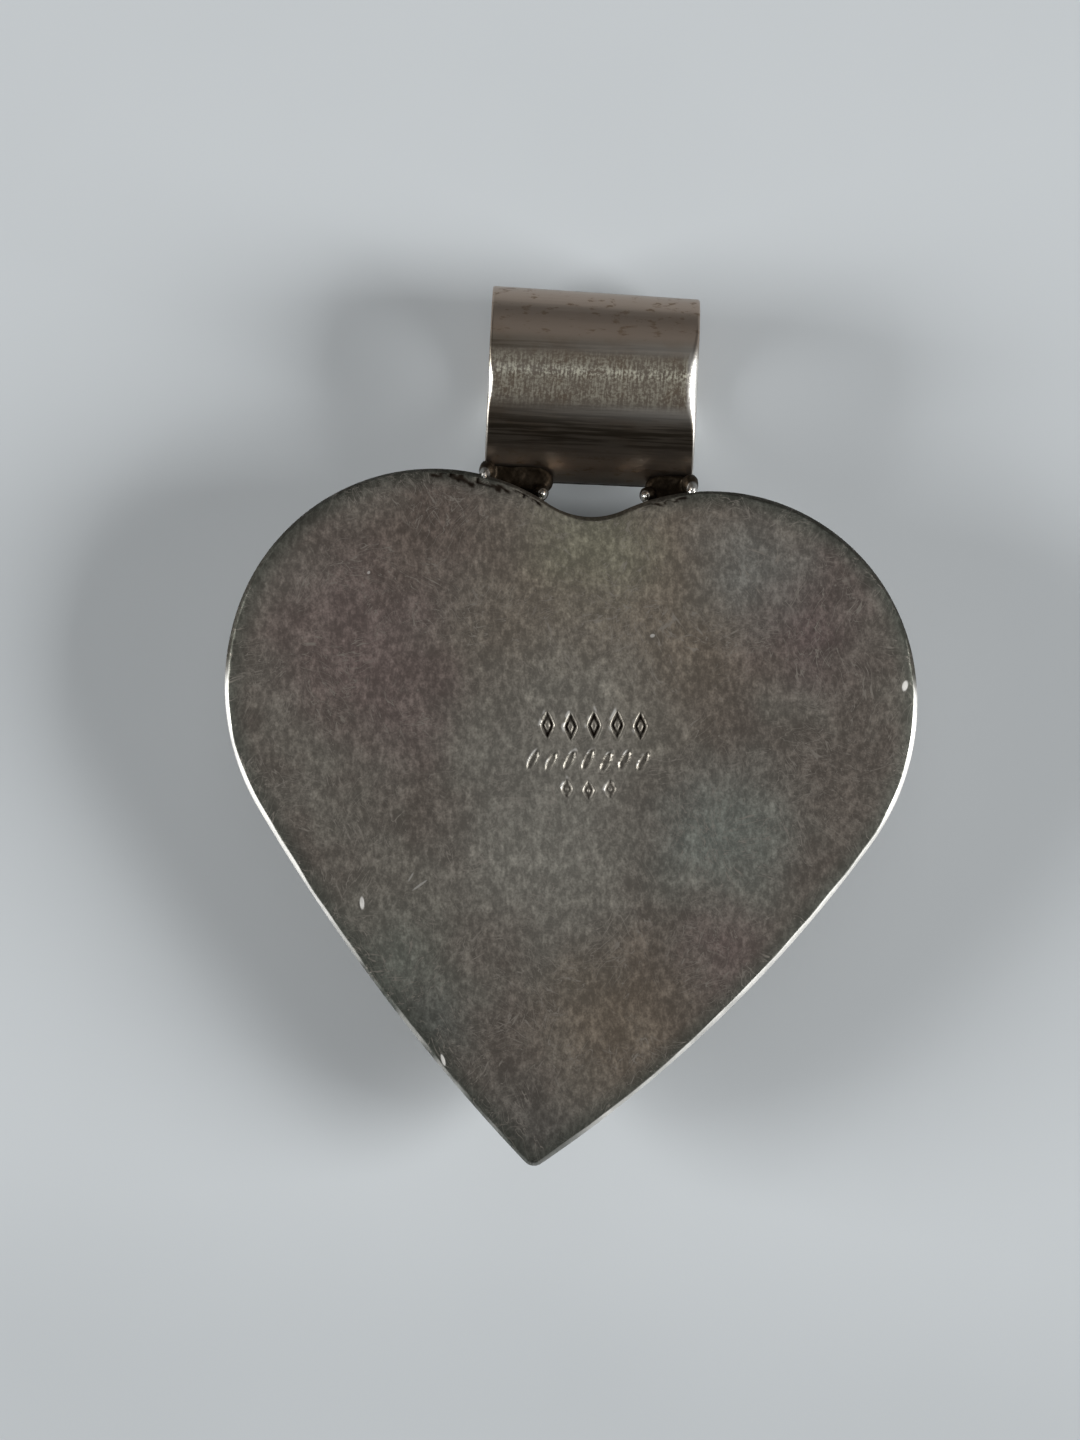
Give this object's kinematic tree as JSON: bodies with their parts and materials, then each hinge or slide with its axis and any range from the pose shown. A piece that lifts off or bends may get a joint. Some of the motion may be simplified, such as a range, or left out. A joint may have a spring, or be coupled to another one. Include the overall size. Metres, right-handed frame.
{
  "type": "heart pendant",
  "caption": "Hollow heart pendant in tarnished silver, with a flat back plate, a plain domed front and a wide strap bail for a chain.",
  "frame": {"origin": "on the surface that the pendant lies on with its front down, under the middle of its outline", "axes": "+Z out of the back plate, +Y from the tip of the heart to the bail, +X to the right as seen from behind"},
  "size_m": [0.04, 0.051, 0.008],
  "materials": {
    "plate_silver": "tarnished silver sheet, finely scratched, with brown and bluish blotches",
    "shell_silver": "polished silver sheet, lightly tarnished",
    "bail_silver": "worn silver strap, frosted with scratches along the top of its bend",
    "solder": "silver solder, darkened in its pits and bright where it was filed"
  },
  "bodies": {
    "root": {"front_shell": "shell_silver", "rim_solder_seam": "solder", "back_plate": "plate_silver", "bail_strap": "bail_silver", "bail_joint_solder": "solder", "bail_solder_left": "solder", "bail_solder_right": "solder"}
  },
  "joints": []
}
